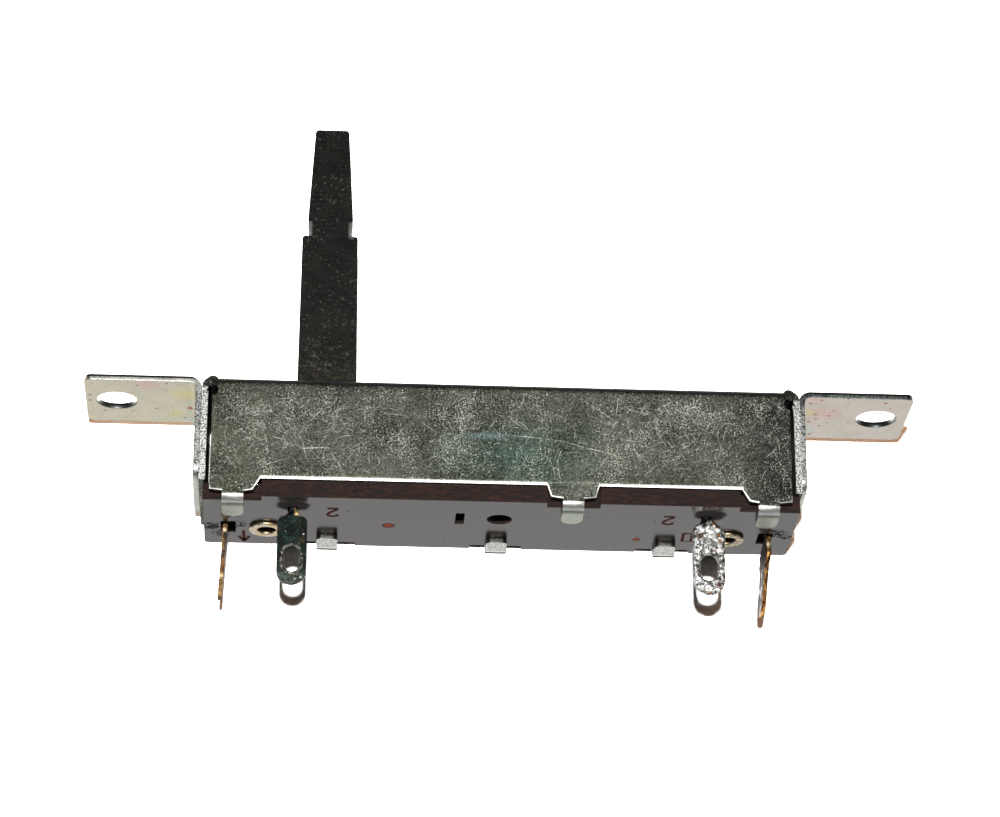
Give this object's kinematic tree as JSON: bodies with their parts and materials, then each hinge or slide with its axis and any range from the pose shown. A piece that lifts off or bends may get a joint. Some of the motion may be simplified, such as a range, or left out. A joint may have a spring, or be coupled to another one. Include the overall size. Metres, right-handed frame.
{
  "type": "slide potentiometer",
  "caption": "Slide potentiometer with a metal case, a pierced fixing ear at each end, a long black lever and solder lugs under a brown board.",
  "frame": {"origin": "midway between the two fixing holes, on the ears' top faces", "axes": "+X along the travel towards the right ear, +Z out along the lever, +Y towards the side of the board with the eyelets"},
  "size_m": [0.065, 0.01, 0.0404],
  "materials": {
    "cover_steel": "plated, darkened and speckled",
    "bracket_steel": "plated, matte",
    "board": "pressed phenolic board, satin faces",
    "carbon_film": "printed carbon, satin",
    "silver_film": "printed silver, matte",
    "dark_brass": "tarnished",
    "solder": "rough solder",
    "terminal_brass": "tinned and tarnished",
    "eyelet_metal": "tinned, satin",
    "lever_plastic": "moulded, satin",
    "wiper_bronze": "rolled, bright",
    "spring_steel": "rolled, bright"
  },
  "bodies": {
    "housing": {"cover": "cover_steel", "ear_bracket_left": "bracket_steel", "ear_bracket_right": "bracket_steel", "base_board": "board", "carbon_track": "carbon_film", "track_pad_left": "silver_film", "track_pad_right": "silver_film", "collector_rail": "dark_brass", "lug_solder": "solder", "end_terminal_left": "terminal_brass", "end_terminal_right": "terminal_brass", "eyelet_left": "eyelet_metal", "eyelet_right": "eyelet_metal"},
    "slider": {"slider_lever": "lever_plastic", "wiper_contact": "wiper_bronze", "friction_spring": "spring_steel"}
  },
  "joints": [
    {"name": "lever_slide", "type": "slide", "parent": "housing", "child": "slider", "axis": [1, 0, 0], "range_m": [-0.0014, 0.0286]}
  ]
}
